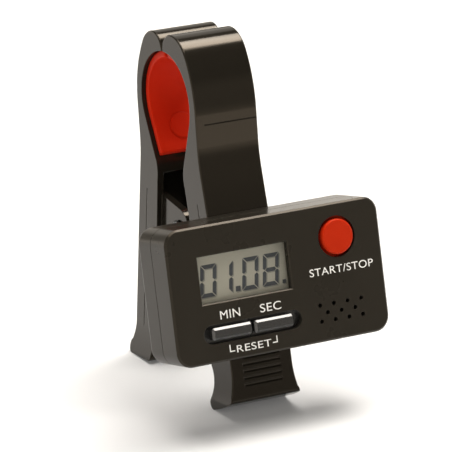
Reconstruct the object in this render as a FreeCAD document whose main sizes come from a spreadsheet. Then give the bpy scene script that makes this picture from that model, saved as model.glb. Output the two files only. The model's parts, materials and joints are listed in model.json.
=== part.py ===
"""Clip-on countdown timer: a spring clamp that carries a small digital timer. Millimetres, +Z up."""
import FreeCAD, Part
import math
import os
import Sketcher
from FreeCAD import Placement, Rotation, Vector

doc = FreeCAD.newDocument("ClipTimer")
sheet = doc.addObject("Spreadsheet::Sheet", "Sizes")

# Driving dimensions. The case frame has its origin at the centre of the case's front face,
# with x to the right, y into the case and z up the face. The clip frame has its origin on the
# clamp's middle line at floor level, with y towards the rear lever and z up the middle line.
sizes = {
    # where the two frames stand
    "case_lean": 14.33, "case_back": -31.99, "case_lift": 41.31,
    "clip_lean": 8.0, "clip_back": 4.51, "clip_lift": 0.06,
    # case
    "case_width": 66.0, "case_tall": 37.6, "front_depth": 8.6, "rear_depth": 7.8,
    "corner_round": 4.4, "case_wall": 1.6, "face_wall": 1.8, "back_wall": 1.6,
    "face_bevel": 0.55, "window_bevel": 0.3, "key_bevel": 0.62, "back_bevel": 1.0, "seam_gap": 0.25, "seam_deep": 0.35,
    # window and display
    "window_left": -23.75, "window_right": 3.8, "window_low": -2.5, "window_high": 10.45,
    "pane_thick": 0.8, "glass_thick": 1.6, "glass_rim": 1.4,
    # keys
    "button_x": 19.3, "button_z": 9.4, "button_hole": 5.7, "button_round": 4.85,
    "button_proud": 0.9, "flange_extra": 1.6, "flange_thick": 0.8, "stem_end": 5.6,
    "slot_left": -24.5, "slot_right": 5.75, "slot_z": -10.95, "slot_tall": 5.2,
    "key_tall": 3.45, "key_proud": 0.8, "minute_left": -22.1, "minute_right": -9.75,
    "second_left": -9.1, "second_right": 3.1,
    # sounder holes
    "sound_x": 18.3, "sound_z": -10.87, "sound_pitch": 4.33, "sound_row": 2.25, "sound_hole": 0.62,
    # circuit board
    "board_front": 7.0, "board_thick": 1.2, "board_half": 25.0, "board_tall": 32.6,
    # screws
    "screw_x": 27.8, "screw_z": 13.4, "post_round": 2.5, "screw_shank": 0.85, "screw_head": 1.8,
    # cell and its door
    "cell_x": 20.5, "cell_round": 5.8, "cell_thick": 5.4, "cell_front": 8.95,
    "door_left": 13.1, "door_right": 32.0, "door_half": 8.5, "door_thick": 1.4, "door_slant": 0.5,
    # clamp levers
    "clip_width": 19.2, "foot_flare": 1.6, "side_wall": 2.0, "outer_wall": 2.0,
    "pivot_lift": 45.0, "mouth_round": 14.4, "mouth_lift": 81.3, "tip_gap": 0.15,
    "lobe_round": 5.15, "crown_rear": 8.0, "crown_front": 9.5, "flank_out": 17.7,
    "shoulder_lift": 79.5, "waist_top": 70.5,
    "groove_width": 11.8, "groove_round": 0.55, "groove_start": 8.5, "groove_pitch": 1.9,
    "step_deep": 0.2,
    # pivot
    "pin_round": 1.5, "pin_free": 0.04, "pin_snug": 0.01, "pin_head": 2.5, "pin_half": 8.2,
    "lug_inner": 5.9, "lug_outer": 8.1, "lug_round": 6.0,
    "ear_inner": 3.2, "ear_outer": 5.6, "ear_round": 5.2,
    # spring
    "wire_round": 0.5, "coil_round": 3.1, "coil_half": 2.2, "coil_turns": 4,
    # grip pads
    "pad_width": 16.8, "pad_thick": 2.0, "pad_gap": 0.05, "stud_round": 3.8, "stud_proud": 0.22, "stud_down": 0.47,
}
for line, (alias, amount) in enumerate(sizes.items(), start=1):
    sheet.set(f"A{line}", alias)
    sheet.set(f"B{line}", str(amount))
    sheet.setAlias(f"B{line}", alias)
doc.recompute()


def cell(alias):
    return float(getattr(sheet, alias))


caseFrame = Placement(Vector(0, cell("case_back"), cell("case_lift")),
                      Rotation(Vector(1, 0, 0), -cell("case_lean")))
clipFrame = Placement(Vector(0, cell("clip_back"), cell("clip_lift")),
                      Rotation(Vector(1, 0, 0), -cell("clip_lean")))
alongY = Rotation(Vector(1, 0, 0), -90)    # turns a cylinder's axis from +Z to +Y
alongX = Rotation(Vector(0, 1, 0), 90)     # turns a cylinder's axis from +Z to +X
parts = []


def keep(item, label, frame):
    """Name a finished sub-part and stand it in its frame."""
    item.Label = label
    item.Placement = frame
    parts.append(item)
    return item


def bind(item, prop, amount):
    if isinstance(amount, str):
        item.setExpression(prop, amount)
    else:
        setattr(item, prop, amount)


# ---------------------------------------------------------------- Part primitives and booleans
def block(name, x, y, z, wide, deep, tall):
    """A box with its low corner at x, y, z; each size is a number or an expression."""
    item = doc.addObject("Part::Box", name)
    bind(item, "Length", wide)
    bind(item, "Width", deep)
    bind(item, "Height", tall)
    item.Placement.Base = Vector(x, y, z)
    return item


def rod(name, x, y, z, radius, length, turn=alongY):
    """A cylinder that starts at x, y, z and runs along +Y, or along the turned axis."""
    item = doc.addObject("Part::Cylinder", name)
    bind(item, "Radius", radius)
    bind(item, "Height", length)
    item.Placement = Placement(Vector(x, y, z), turn)
    return item


def join(name, pieces):
    item = doc.addObject("Part::MultiFuse", name)
    item.Shapes = pieces
    item.Refine = True
    return item


def cut(name, base, tool):
    item = doc.addObject("Part::Cut", name)
    item.Base = base
    item.Tool = tool
    item.Refine = True
    return item


def soften(name, base, size, wanted, kind="Part::Fillet"):
    """Round or bevel the edges of base for which wanted(edge) is true."""
    doc.recompute()
    item = doc.addObject(kind, name)
    item.Base = base
    item.Edges = [(i, size, size) for i, edge in enumerate(base.Shape.Edges, 1) if wanted(edge)]
    return item


# ---------------------------------------------------------------- PartDesign helpers
def originPlane(body, role):
    return next(f for f in body.Origin.OriginFeatures if f.Role == role)


def newSketch(body, name, role, offset=0.0):
    sketch = body.newObject("Sketcher::SketchObject", name)
    sketch.AttachmentSupport = [(originPlane(body, role), "")]
    sketch.MapMode = "FlatFace"
    sketch.AttachmentOffset = Placement(Vector(0, 0, offset), Rotation())
    return sketch


def trace(sketch, path, flip=1):
    """Draw a closed outline: each step is (end,) for a line or (via, end) for an arc."""
    start = path[-1][-1]
    for step in path:
        points = [Vector(flip * u, v, 0) for u, v in (start, *step)]
        if len(points) == 2:
            sketch.addGeometry(Part.LineSegment(*points))
        else:
            sketch.addGeometry(Part.Arc(*points))
        start = step[-1]


def ring(sketch, u, v, radius):
    sketch.addGeometry(Part.Circle(Vector(u, v, 0), Vector(0, 0, 1), radius))


def pad(body, sketch, length, both=False, reverse=False):
    item = body.newObject("PartDesign::Pad", "Pad")
    item.Profile = sketch
    bind(item, "Length", length)
    item.Midplane = both
    item.Reversed = reverse
    doc.recompute()
    return item


def pocket(body, sketch, length=None, both=False, reverse=False):
    """Cut the sketch into the body and check that some material went."""
    before = body.Shape.Volume
    item = body.newObject("PartDesign::Pocket", "Pocket")
    item.Profile = sketch
    if length is None:
        item.Type = "ThroughAll"
    else:
        bind(item, "Length", length)
    item.Midplane = both
    item.Reversed = reverse
    doc.recompute()
    if body.Shape.Volume > before - 0.001:
        raise RuntimeError(f"{body.Name}: {item.Name} cut nothing")
    return item


def newBody(name):
    return doc.addObject("PartDesign::Body", name)


# ---------------------------------------------------------------- clamp levers
handleSlope = 0.2053    # how fast the handles spread apart downwards


def handleOut(lift):
    """Distance from the middle line to a handle's outer face."""
    return 28.3 - (lift - 15.0) * handleSlope


def leverOutline(long):
    """Side view of a lever: lobe, shoulder, waist, handle, foot, inner edge, throat and mouth."""
    mouth = cell("mouth_round")
    centre = cell("mouth_lift")
    tip = cell("tip_gap")
    rim = math.sqrt(mouth ** 2 - tip ** 2) + centre
    lobe = cell("lobe_round")
    flank = cell("flank_out")
    shoulderLift = cell("shoulder_lift")
    crown = cell("crown_front") if long else cell("crown_rear")
    lean = math.atan(handleSlope)
    across = flank - tip - lobe
    rise = rim + lobe - shoulderLift
    shoulder = (across ** 2 + (rise - crown) ** 2 - crown ** 2) / (2 * (across - crown))
    turn = math.atan2(rise - crown, (tip + lobe) - (flank - shoulder))
    waistTop = cell("waist_top")
    waist = (handleOut(waistTop) - flank) / (1 - math.cos(lean) - math.sin(lean) * handleSlope)

    def on(u, v, radius, angle):
        return (u + radius * math.cos(angle), v + radius * math.sin(angle))
    quarter = math.pi / 2
    outside = [
        (on(tip + lobe, rim, lobe, 1.5 * quarter), (tip + lobe, rim + lobe)),
        (on(tip + lobe, rim + lobe - crown, crown, (quarter + turn) / 2),
         on(tip + lobe, rim + lobe - crown, crown, turn)),
        (on(flank - shoulder, shoulderLift, shoulder, turn / 2), (flank, shoulderLift)),
        ((flank, waistTop),),
        (on(flank + waist, waistTop, waist, 2 * quarter + lean / 2),
         on(flank + waist, waistTop, waist, 2 * quarter + lean)),
        ((28.3, 15.0),),
    ]
    if long:
        foot = [
            ((28.95, 9.5), (29.85, 1.6)),
            ((29.7, 0.75), (28.9, 0.3)),
            ((24.9, -1.4), (20.6, -2.58)),
            ((18.4, -2.2), (18.0, -0.7)),
            ((18.9, 3.2), (17.1, 9.0)),
        ]
    else:
        foot = [
            ((29.4, 11.0), (31.0, 7.6)),
            ((31.1, 5.1), (28.9, 4.1)),
            ((19.9, 3.65),),
            ((18.4, 4.1), (18.2, 5.3)),
            ((17.7, 7.2), (16.9, 10.0)),
        ]
    inside = [
        ((8.3, 58.0),),                         # inner edge
        ((7.85, 60.5), (8.2, 63.4)),            # throat
        ((13.1, centre - math.sqrt(mouth ** 2 - 13.1 ** 2)),),
        ((mouth, centre), (tip, rim)),          # mouth
    ]
    return outside + foot + inside


def channelOutline(floor):
    """The hollow of the lever, open towards the middle line; floor is its lower end."""
    return [((15.4, 66.0),), ((18.2, 54.0),), ((25.9, 16.0),), ((25.6, floor),), ((6.0, floor),),
            ((5.0, 57.6),), ((9.2, 60.8),)]


def plateOutline(radius):
    """A pivot plate: a round end about the pivot that runs back into the lever's outer wall."""
    lift = cell("pivot_lift")
    lean = math.radians(14)
    top = (-radius * math.sin(lean), lift + radius * math.cos(lean))
    reach = 18.8
    return [((reach, top[1] + (reach - top[0]) * math.tan(lean)),), ((22.6, 38.0),),
            ((0.0, lift - radius),), ((-radius, lift), top)]


def makeLever(name, side, long, plate):
    """One moulded lever; side is +1 for the rear lever and -1 for the front one."""
    body = newBody(name)
    profile = newSketch(body, name + "Profile", "YZ_Plane")
    trace(profile, leverOutline(long), side)
    pad(body, profile, "Sizes.clip_width + 2 * Sizes.foot_flare", both=True)

    half = cell("clip_width") / 2
    flare = cell("foot_flare")
    low = -3.2 if long else 3.2
    flank = newSketch(body, name + "Flanks", "XZ_Plane")
    flareEnd = 0.0 if long else 4.4
    top, bottom, away = 112.0, -9.0, half + 9.0    # past the lever all round
    for way in (1, -1):
        trace(flank, [((half, top),), ((half, flareEnd + 10.5),),
                      ((half + 0.28 * flare, flareEnd + 4.4), (half + flare, flareEnd)),
                      ((half + flare, bottom),), ((away, bottom),), ((away, top),)], way)
    pocket(body, flank, both=True)

    hollow = newSketch(body, name + "Hollow", "YZ_Plane")
    trace(hollow, channelOutline(0.2 if long else 6.4), side)
    pocket(body, hollow, "Sizes.clip_width - 2 * Sizes.side_wall", both=True)
    roundLips(body)

    inner, outer = cell(plate + "_inner"), cell(plate + "_outer")
    for start in (inner, -outer):
        sketch = newSketch(body, name + "Plate", "YZ_Plane", start)
        trace(sketch, plateOutline(cell(plate + "_round")), side)
        pad(body, sketch, f"Sizes.{plate}_outer - Sizes.{plate}_inner")
    bore = newSketch(body, name + "Bore", "YZ_Plane")
    room = cell("pin_free") if side > 0 else cell("pin_snug")
    ring(bore, 0, cell("pivot_lift"), cell("pin_round") + room)
    pocket(body, bore, "Sizes.clip_width", both=True)

    ridges = newSketch(body, name + "Grip", "YZ_Plane")
    for step in range(6):
        lift = low + cell("groove_start") + cell("groove_pitch") * step
        out = handleOut(lift) if lift > 15.0 else 28.3 + (15.0 - lift) * 0.115
        ring(ridges, side * (out + 0.28), lift, cell("groove_round"))
    pocket(body, ridges, "Sizes.groove_width", both=True)

    for way in (1, -1):
        seam = newSketch(body, name + "Seam", "YZ_Plane", way * half)
        trace(seam, [((15.35, 54.6),), ((23.75, 13.0),), ((23.4, 13.0),), ((15.0, 54.6),)], side)
        pocket(body, seam, "Sizes.step_deep", reverse=(way < 0))
    return body


def roundLips(body):
    """Take the sharp edge off both side outlines: the rounding runs on from the lobe's edge."""
    names = []
    for number, edge in enumerate(body.Shape.Edges, 1):
        middle = edge.valueAt((edge.FirstParameter + edge.LastParameter) / 2)
        side = abs(abs(middle.x) - cell("clip_width") / 2) < 0.01
        if side and middle.z > 97.0 and abs(middle.y) < 4.0:
            names.append(f"Edge{number}")
    base = body.Tip
    lips = body.newObject("PartDesign::Fillet", "Lips")
    lips.Base = (base, names)
    lips.Radius = 0.45
    doc.recompute()
    if "Invalid" in lips.State or len(names) != 2:
        raise RuntimeError(f"{body.Name}: its outline did not round: {names}")
    body.Tip = lips


def makeRearLever():
    body = makeLever("RearLever", 1, False, "lug")
    return keep(body, "rear_lever", clipFrame)


def backPlane(lift):
    """Distance from the middle line to the case's back plane, at a height in the clip frame."""
    toClip = clipFrame.inverse().multiply(caseFrame)
    depth = cell("front_depth") + cell("rear_depth")
    low = toClip.multVec(Vector(0, depth, -10))
    high = toClip.multVec(Vector(0, depth, 10))
    return low.y + (lift - low.z) * (high.y - low.y) / (high.z - low.z)


def makeFrontLever():
    """The lever that carries the case: its seat block fills the wedge up to the case's back."""
    body = makeLever("FrontLever", -1, True, "ear")
    seat = newSketch(body, "Seat", "YZ_Plane")
    trace(seat, [((backPlane(25.0), 25.0),), ((backPlane(50.0), 50.0),), ((-20.0, 50.0),),
                 ((-25.4, 25.0),)])
    pad(body, seat, 14.0, both=True)
    toClip = clipFrame.inverse().multiply(caseFrame)
    back = cell("front_depth") + cell("rear_depth")
    tools = []
    for n, lift in enumerate(screwLifts):
        hole = rod(f"MountHole{n}", 0, 0, 0, 1.1, 12)
        hole.Placement = toClip.multiply(Placement(Vector(0, back - 1, lift), alongY))
        sink = rod(f"MountSink{n}", 0, 0, 0, 2.5, 14)
        sink.Placement = toClip.multiply(Placement(Vector(0, back + seatDepth(lift), lift), alongY))
        tools += [hole, sink]
    return keep(cut("DrilledLever", body, join("MountTools", tools)), "front_lever", clipFrame)


screwLifts = (9.0, -8.0)    # heights of the two mounting screws up the case's back


def seatDepth(lift):
    """Depth behind the case's back plane where a mounting screw's head rests."""
    toCase = caseFrame.inverse().multiply(clipFrame)
    outer = toCase.multVec(Vector(0, -handleOut(34.0 + lift), 34.0 + lift))
    return outer.y - cell("front_depth") - cell("rear_depth") + cell("outer_wall")


def makePads():
    """Soft pads that line the mouth; each has a raised round stud on its flat lower run."""
    centre = cell("mouth_lift")
    for label, side in (("rear_pad", 1), ("front_pad", -1)):
        outer = cell("mouth_round") - cell("pad_gap")
        inner = outer - cell("pad_thick")
        turn = math.radians(-23.5)
        start = math.radians(87.0)
        run = (-4.75, -11.0)

        def at(radius, angle):
            return (radius * math.cos(angle), centre + radius * math.sin(angle))
        outerEnd, innerEnd = at(outer, turn), at(inner, turn)
        body = newBody(label.title().replace("_", ""))
        sketch = newSketch(body, "Section", "YZ_Plane")
        trace(sketch, [
            (at(outer, math.radians(32)), outerEnd),
            ((outerEnd[0] + run[0], outerEnd[1] + run[1]),),
            ((innerEnd[0] + run[0] + 0.1, innerEnd[1] + run[1] + 0.3),),
            (innerEnd,),
            (at(inner, math.radians(32)), at(inner, start)),
            (at(outer, start),),
        ], side)
        pad(body, sketch, "Sizes.pad_width", both=True)
        stud = body.newObject("PartDesign::AdditiveCylinder", "Stud")
        stud.setExpression("Radius", "Sizes.stud_round")
        stud.setExpression("Height", "Sizes.stud_proud + 1")
        along = math.atan2(-run[1], -run[0])
        down = cell("stud_down")
        middle = (innerEnd[0] + down * run[0], innerEnd[1] + down * run[1])
        out = Vector(0, -side * math.sin(along), math.cos(along))
        stud.Placement = Placement(Vector(0, side * middle[0], middle[1]) - out,
                                   Rotation(Vector(0, 0, 1), out))
        doc.recompute()
        keep(body, label, clipFrame)


def makePin():
    lift = cell("pivot_lift")
    half = cell("pin_half")
    shank = rod("PinShank", -half - 0.8, 0, lift, "Sizes.pin_round", 2 * half + 1.9, alongX)
    head = rod("PinHead", -half - 0.8, 0, lift, "Sizes.pin_head", 0.75, alongX)
    neck = cut("PinNeck", rod("NeckOuter", half + 0.05, 0, lift, 2.0, 0.5, alongX),
               rod("NeckInner", half + 0.05, 0, lift, 1.15, 0.5, alongX))
    body = cut("Pin", join("PinBlank", [shank, head]), neck)
    keep(soften("PinEnd", body, 0.25, lambda e: e.Length > 14.0, "Part::Chamfer"),
         "pivot_pin", clipFrame)


def makePinRing():
    """The split ring in the pin's neck."""
    lift = cell("pivot_lift")
    half = cell("pin_half")
    disc = rod("RingDisc", half + 0.1, 0, lift, 2.6, 0.4, alongX)
    hole = rod("RingHole", half + 0.1, 0, lift, 1.17, 0.4, alongX)
    slot = block("RingSlot", half + 0.1, -0.7, lift - 3.0, 0.4, 1.4, 3.0)
    keep(cut("PinRing", disc, join("RingTools", [hole, slot])), "pin_ring", clipFrame)


def makeSpring():
    """A torsion spring on the pin; its two legs press the handles apart."""
    radius = cell("coil_round")
    wire = cell("wire_round")
    half = cell("coil_half")
    lift = cell("pivot_lift")
    foot = Vector(0, 21.9, 33.0 - lift)
    tangent = math.atan2(foot.z, foot.y) + math.acos(radius / foot.Length)
    sweep = 2 * math.pi * cell("coil_turns") + math.pi - 2 * tangent
    steps = 16 * int(cell("coil_turns"))
    points = []
    for step in range(steps + 1):
        share = step / steps
        angle = math.pi - tangent - share * sweep
        points.append(Vector(-half + 2 * half * share, radius * math.cos(angle),
                             lift + radius * math.sin(angle)))
    curve = Part.BSplineCurve()
    curve.interpolate(points)
    section = Part.Wire(Part.makeCircle(wire, points[0], points[1] - points[0]))
    coil = Part.Wire(curve.toShape()).makePipeShell([section], True, True)
    for x, side, top in ((-half, -1, points[0]), (half, 1, points[-1])):
        tipEnd = Vector(x, side * foot.y, lift + foot.z)
        along = (tipEnd - top).normalize()
        leg = Part.makeCylinder(wire, (tipEnd - top).Length + 0.1, top - along * 0.1, along)
        coil = coil.fuse(leg).fuse(Part.makeSphere(wire * 1.03, top))    # a ball fills each bend
    spring = doc.addObject("Part::Feature", "Spring")
    spring.Shape = coil
    keep(spring, "torsion_spring", clipFrame)


# ---------------------------------------------------------------- case shells
def caseShell(name, deep, start):
    """A rounded tray blank; start is where its front plane lies."""
    wide, tall = cell("case_width"), cell("case_tall")
    blank = block(name + "Blank", -wide / 2, start, -tall / 2, "Sizes.case_width", deep,
                  "Sizes.case_tall")
    return soften(name + "Corners", blank, cell("corner_round"),
                  lambda e: abs(e.tangentAt(e.FirstParameter).y) > 0.99)


def hollow(name, start, deep):
    wall = cell("case_wall")
    wide, tall = cell("case_width") - 2 * wall, cell("case_tall") - 2 * wall
    blank = block(name + "Space", -wide / 2, start, -tall / 2, "Sizes.case_width - 2 * Sizes.case_wall",
                  deep, "Sizes.case_tall - 2 * Sizes.case_wall")
    return soften(name + "SpaceCorners", blank, cell("corner_round") - wall,
                  lambda e: abs(e.tangentAt(e.FirstParameter).y) > 0.99)


def screwSpots():
    return [(sx * cell("screw_x"), sz * cell("screw_z")) for sz in (1, -1) for sx in (1, -1)]


boardSpots = ((9.3, 14.4), (9.3, -14.9), (-22.6, 14.9))


def edgesAt(y):
    """Chooses the outline edges that lie in the plane at depth y, on the case's outside."""
    def wanted(edge):
        points = [v.Point for v in edge.Vertexes]
        inPlane = all(abs(p.y - y) < 0.01 for p in points)
        outside = all(abs(p.x) > 28.0 or abs(p.z) > 18.5 for p in points)
        return inPlane and outside
    return wanted


def makeFrontCase():
    deep = cell("front_depth")
    face = cell("face_wall")
    shell = cut("FrontTray", caseShell("Front", "Sizes.front_depth", 0),
                hollow("Front", face, "Sizes.front_depth - Sizes.face_wall"))
    shell = soften("FrontBevel", shell, cell("face_bevel"), edgesAt(0.0), "Part::Chamfer")
    solids = [shell]
    for n, (x, z) in enumerate(screwSpots()):
        solids.append(rod(f"FrontPost{n}", x, face - 0.2, z, "Sizes.post_round", deep - face + 0.1))
    for n, (x, z) in enumerate(boardSpots):
        solids.append(rod(f"BoardPost{n}", x, face - 0.2, z, 1.8, "Sizes.board_front - Sizes.face_wall + 0.2"))
    left, right = cell("window_left"), cell("window_right")
    low, high = cell("window_low"), cell("window_high")
    for n, (x0, x1, z0, z1) in enumerate((          # ribs that hold the pane and the display
            (left - 2.2, left - 1.5, low, high), (right + 1.5, right + 2.2, low, high))):
        solids.append(block(f"WindowRib{n}", x0, face - 0.2, z0, x1 - x0, 4.0, z1 - z0))
    tools = [block("WindowHole", left, -1, low, "Sizes.window_right - Sizes.window_left", 4,
                   "Sizes.window_high - Sizes.window_low")]
    tools.append(rod("ButtonHole", cell("button_x"), -1, cell("button_z"), "Sizes.button_hole", 4))
    tall = cell("slot_tall")
    x0, x1 = cell("slot_left") + tall / 2, cell("slot_right") - tall / 2
    tools.append(block("SlotMiddle", x0, -1, cell("slot_z") - tall / 2, x1 - x0, 4, tall))
    for n, x in enumerate((x0, x1)):
        tools.append(rod(f"SlotEnd{n}", x, -1, cell("slot_z"), "Sizes.slot_tall / 2", 4))
    for x, z in soundSpots():
        tools.append(rod("SoundHole", x, -1, z, "Sizes.sound_hole", 4))
    for n, (x, z) in enumerate(screwSpots()):
        tools.append(rod(f"FrontPilot{n}", x, 3.6, z, "Sizes.screw_shank", deep))
    for n, (x, z) in enumerate(boardSpots):
        tools.append(rod(f"BoardPilot{n}", x, 3.2, z, 0.62, deep))
    body = cut("FrontCase", join("FrontSolids", solids), join("FrontTools", tools))

    def windowEdge(edge):
        points = [v.Point for v in edge.Vertexes]
        return all(abs(p.y) < 0.01 and left - 0.01 < p.x < right + 0.01 and
                   low - 0.01 < p.z < high + 0.01 for p in points)
    body = soften("WindowBevel", body, cell("window_bevel"), windowEdge, "Part::Chamfer")
    keep(body, "front_case", caseFrame)


def soundSpots():
    spots = []
    for row, count in ((1, 4), (0, 3), (-1, 4)):
        for n in range(count):
            spots.append((cell("sound_x") + (n - (count - 1) / 2) * cell("sound_pitch"),
                          cell("sound_z") + row * cell("sound_row")))
    return spots


def doorSection(name, grow, x0, x1):
    """The cell door's wedge section, wider inside, swept along x from x0 to x1."""
    back = cell("front_depth") + cell("rear_depth")
    half = cell("door_half") + grow
    thick = cell("door_thick") + grow
    slant = cell("door_slant")
    wide = half + slant
    corners = [Vector(x0, back, -half), Vector(x0, back - thick, -wide),
               Vector(x0, back - thick, wide), Vector(x0, back, half)]
    if grow > 0:    # the slot runs out through the back face
        corners = [corners[0] + Vector(0, 1, slant / thick), *corners[1:3],
                   corners[3] + Vector(0, 1, -slant / thick)]
    wedge = doc.addObject("Part::Feature", name)
    wedge.Shape = Part.Face(Part.makePolygon(corners + corners[:1])).extrude(Vector(x1 - x0, 0, 0))
    return wedge


def makeRearCase():
    start = cell("front_depth")
    back = start + cell("rear_depth")
    wall = cell("back_wall")
    shell = cut("RearTray", caseShell("Rear", "Sizes.rear_depth", start),
                hollow("Rear", start, "Sizes.rear_depth - Sizes.back_wall"))
    shell = soften("RearRound", shell, cell("back_bevel"), edgesAt(back))
    solids = [shell]
    for n, (x, z) in enumerate(screwSpots()):
        solids.append(rod(f"RearPost{n}", x, start + 0.05, z, "Sizes.post_round", back - start - 1))
    for n, z in enumerate(screwLifts):
        solids.append(rod(f"MountPost{n}", 0, start + 1.4, z, 2.6, back - start - 2))
    solids.append(rod("CellWall", cell("cell_x"), start + 1.0, 0, "Sizes.cell_round + 1.4",
                      back - start - 1.5))
    solids.append(block("DoorFloor", cell("door_left") - 1, back - wall - 1.2, -10.4,
                        33 - cell("door_left"), 1.6, 20.8))
    tools = [rod("CellHole", cell("cell_x"), start, 0, "Sizes.cell_round + 0.25", back),
             doorSection("DoorSlot", 0.12, cell("door_left") - 0.12, 40.0)]
    tools.append(block("ContactNotch", 25.0, start + 0.4, -2.4, 2.7, 6.4, 4.8))
    for n, (x, z) in enumerate(screwSpots()):
        tools.append(rod(f"RearClear{n}", x, start - 1, z, "Sizes.screw_shank + 0.15", back))
        tools.append(rod(f"RearSink{n}", x, back - 1.5, z, "Sizes.screw_head + 0.2", 3))
    for n, z in enumerate(screwLifts):
        tools.append(rod(f"MountPilot{n}", 0, start + 2.2, z, 0.98, back))
    seat = block("LeverSeat", -9.95, 0, -20, 19.9, 12, 60)
    lean = math.degrees(math.atan(handleSlope))
    seat.Placement = caseFrame.inverse().multiply(clipFrame).multiply(
        Placement(Vector(0, -28.5, 15.0), Rotation(Vector(1, 0, 0), -lean))).multiply(
        Placement(Vector(-9.95, 0, -20), Rotation()))
    tools.append(seat)
    rim = cell("seam_deep")
    wide, tall = cell("case_width") - 2 * rim, cell("case_tall") - 2 * rim
    ringOut = block("SeamOut", -40, start - 0.01, -30, 80, "Sizes.seam_gap", 60)
    ringIn = block("SeamIn", -wide / 2, start - 0.01, -tall / 2, wide, "Sizes.seam_gap", tall)
    ringIn = soften("SeamInCorners", ringIn, cell("corner_round") - rim,
                    lambda e: abs(e.tangentAt(e.FirstParameter).y) > 0.99)
    tools.append(cut("SeamGroove", ringOut, ringIn))
    body = cut("RearCase", join("RearSolids", solids), join("RearTools", tools))
    keep(body, "rear_case", caseFrame)


def makeDoor():
    left, right = cell("door_left"), cell("door_right")
    plate = doorSection("DoorPlate", 0.0, left, right)
    back = cell("front_depth") + cell("rear_depth")
    tools = [block("DoorRidge", left + 2.6 + 1.5 * n, back - 0.35, -4.5, 0.7, 1, 9.0)
             for n in range(4)]
    keep(cut("Door", plate, join("DoorTools", tools)), "battery_door", caseFrame)


# ---------------------------------------------------------------- display
def makeDisplay():
    left, right = cell("window_left"), cell("window_right")
    low, high = cell("window_low"), cell("window_high")
    rim = cell("glass_rim")
    face = cell("face_wall")
    spread = f"Sizes.window_right - Sizes.window_left + {2 * rim}"
    height = f"Sizes.window_high - Sizes.window_low + {2 * rim}"
    pane = block("Pane", left - rim, face + 0.02, low - rim, spread, "Sizes.pane_thick", height)
    keep(pane, "display_window", caseFrame.multiply(pane.Placement))
    front = face + cell("pane_thick") + 0.05
    glass = block("Glass", left - rim, front, low - rim, spread, "Sizes.glass_thick", height)
    keep(glass, "lcd_panel", caseFrame.multiply(glass.Placement))
    rear = front + cell("glass_thick") + 0.02
    mirror = block("Mirror", left - rim, rear, low + 1.6, spread, 0.2,
                   "Sizes.window_high - Sizes.window_low - 0.2")
    keep(mirror, "lcd_reflector", caseFrame.multiply(mirror.Placement))
    strip = block("Strip", left, rear, low - rim + 0.2, "Sizes.window_right - Sizes.window_left",
                  cell("board_front") - rear - 0.02, 2.4)
    keep(strip, "zebra_strip", caseFrame.multiply(strip.Placement))


# ---------------------------------------------------------------- keys and their domes
def makeButton():
    x, z = cell("button_x"), cell("button_z")
    proud = cell("button_proud")
    face = cell("face_wall")
    cap = rod("CapBlank", x, -proud, z, "Sizes.button_round", "Sizes.button_proud + Sizes.face_wall + 0.4")
    cap = soften("Cap", cap, 0.55, lambda e: e.Length > 20 and e.valueAt(e.FirstParameter).y < 0)
    flange = rod("CapFlange", x, face + 0.15, z, "Sizes.button_hole + 0.9", "Sizes.flange_thick")
    stem = rod("CapStem", x, face + 0.15, z, 1.5, cell("stem_end") - face - 0.15)
    keep(join("Button", [cap, flange, stem]), "start_stop_key", caseFrame)


def makeBarKey(label, left, right, flangeLeft, flangeRight):
    """A bar key in the shared slot, with a flange behind the face and a stem to its dome."""
    z, tall = cell("slot_z"), cell("key_tall")
    face, proud = cell("face_wall"), cell("key_proud")
    bar = block(label + "Blank", left, -proud, z - tall / 2, right - left, face + 0.4 + proud,
                "Sizes.key_tall")
    upright = soften(label + "Corners", bar, 0.7, lambda e: abs(e.tangentAt(0).y) > 0.99)
    top = soften(label + "Top", upright, cell("key_bevel"),
                 lambda e: all(abs(v.Point.y + proud) < 0.01 for v in e.Vertexes), "Part::Chamfer")
    flange = block(label + "Flange", flangeLeft, face + 0.15, z - 3.6, flangeRight - flangeLeft,
                   "Sizes.flange_thick", 7.2)
    middle = (left + right) / 2
    stem = rod(label + "Stem", middle, face + 0.15, z, 1.2, cell("stem_end") - face - 0.15)
    keep(join(label, [top, flange, stem]), label, caseFrame)
    return middle


def makeDome(label, x, z):
    """A rubber dome on the board under a key's stem."""
    front = cell("stem_end") + 0.65
    foot = rod(label + "Foot", x, cell("board_front") - 0.32, z, 2.6, 0.3)
    crown = rod(label + "Crown", x, front, z, 1.6, cell("board_front") - front - 0.1)
    keep(join(label, [foot, crown]), label, caseFrame)


def makeKeys():
    makeButton()
    gap = (cell("minute_right") + cell("second_left")) / 2
    first = makeBarKey("minute_key", cell("minute_left"), cell("minute_right"),
                       cell("slot_left") - 0.5, gap - 0.15)
    second = makeBarKey("second_key", cell("second_left"), cell("second_right"), gap + 0.15,
                        cell("slot_right") + 0.7)
    makeDome("start_stop_dome", cell("button_x"), cell("button_z"))
    makeDome("minute_dome", first, cell("slot_z"))
    makeDome("second_dome", second, cell("slot_z"))


# ---------------------------------------------------------------- electronics
def makeBoard():
    half, tall = cell("board_half"), cell("board_tall")
    plate = block("BoardPlate", -half, cell("board_front"), -tall / 2, "2 * Sizes.board_half",
                  "Sizes.board_thick", "Sizes.board_tall")
    holes = [rod("BoardHole", x, 5, z, 0.9, 5) for x, z in boardSpots]
    keep(cut("Board", plate, join("BoardHoles", holes)), "circuit_board", caseFrame)


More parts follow.
